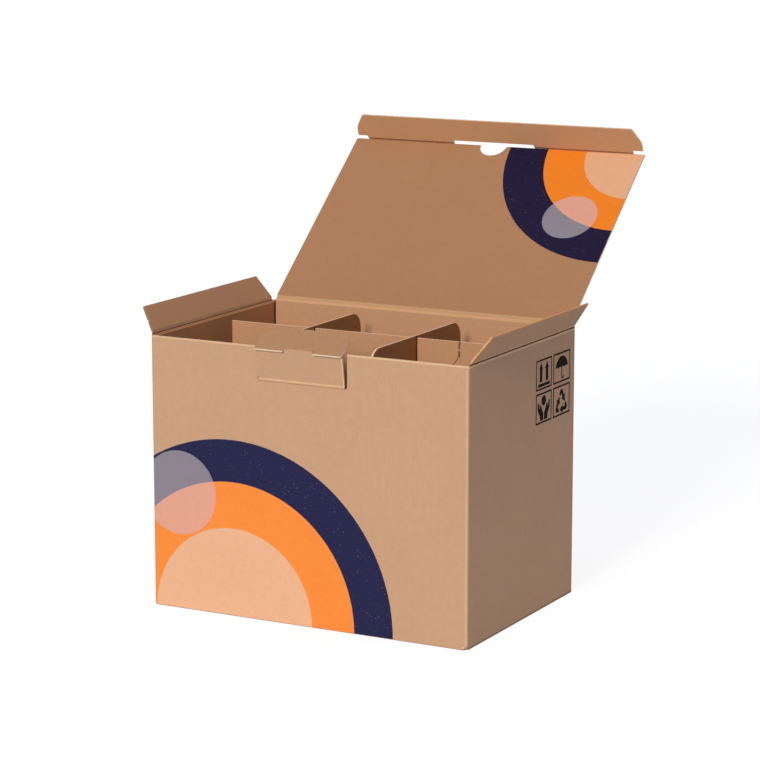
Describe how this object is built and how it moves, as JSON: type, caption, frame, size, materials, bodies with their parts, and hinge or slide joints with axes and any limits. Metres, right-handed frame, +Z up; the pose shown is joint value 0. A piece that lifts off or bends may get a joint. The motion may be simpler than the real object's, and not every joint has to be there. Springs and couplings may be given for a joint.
{
  "type": "shipping box",
  "caption": "Brown corrugated carton with a hinged tuck-in lid, dust flaps, a front lock tab and a loose divider insert.",
  "frame": {"origin": "centre of the carton's base, on the floor", "axes": "+Z up, +X to the right along the front wall, +Y from the front wall to the back wall"},
  "size_m": [0.3642, 0.4046, 0.4309],
  "materials": {
    "carton_board": "matte",
    "divider_board": "matte"
  },
  "bodies": {
    "carton": {"carton_body": "carton_board", "long_divider": "divider_board", "left_cross_divider": "divider_board", "right_cross_divider": "divider_board"},
    "lid": {"lid": "carton_board"},
    "tuck_flap": {"tuck_flap": "carton_board"},
    "left_dust_flap": {"left_dust_flap": "carton_board"},
    "right_dust_flap": {"right_dust_flap": "carton_board"},
    "lock_tab": {"lock_tab": "carton_board"},
    "lock_tab_tip": {"lock_tab_tip": "carton_board"}
  },
  "joints": [
    {"name": "lid_crease", "type": "hinge", "parent": "carton", "child": "lid", "pos_m": [0, 0.113, 0.2615], "axis": [-1, 0, 0], "range_deg": [-132, 115]},
    {"name": "tuck_crease", "type": "hinge", "parent": "lid", "child": "tuck_flap", "pos_m": [0, 0.28345, 0.40452], "axis": [-1, 0, 0], "range_deg": [-23, 85]},
    {"name": "left_dust_crease", "type": "hinge", "parent": "carton", "child": "left_dust_flap", "pos_m": [-0.165, 0, 0.2595], "axis": [0, -1, 0], "range_deg": [-130, 130]},
    {"name": "right_dust_crease", "type": "hinge", "parent": "carton", "child": "right_dust_flap", "pos_m": [0.165, 0, 0.2595], "axis": [0, 1, 0], "range_deg": [-124, 136]},
    {"name": "lock_tab_crease", "type": "hinge", "parent": "carton", "child": "lock_tab", "pos_m": [-0.0042, -0.113, 0.2275], "axis": [-1, 0, 0], "range_deg": [-140, 10]},
    {"name": "lock_tip_crease", "type": "hinge", "parent": "lock_tab", "child": "lock_tab_tip", "pos_m": [-0.0042, -0.11863, 0.25941], "axis": [-1, 0, 0], "range_deg": [-70, 30]}
  ]
}
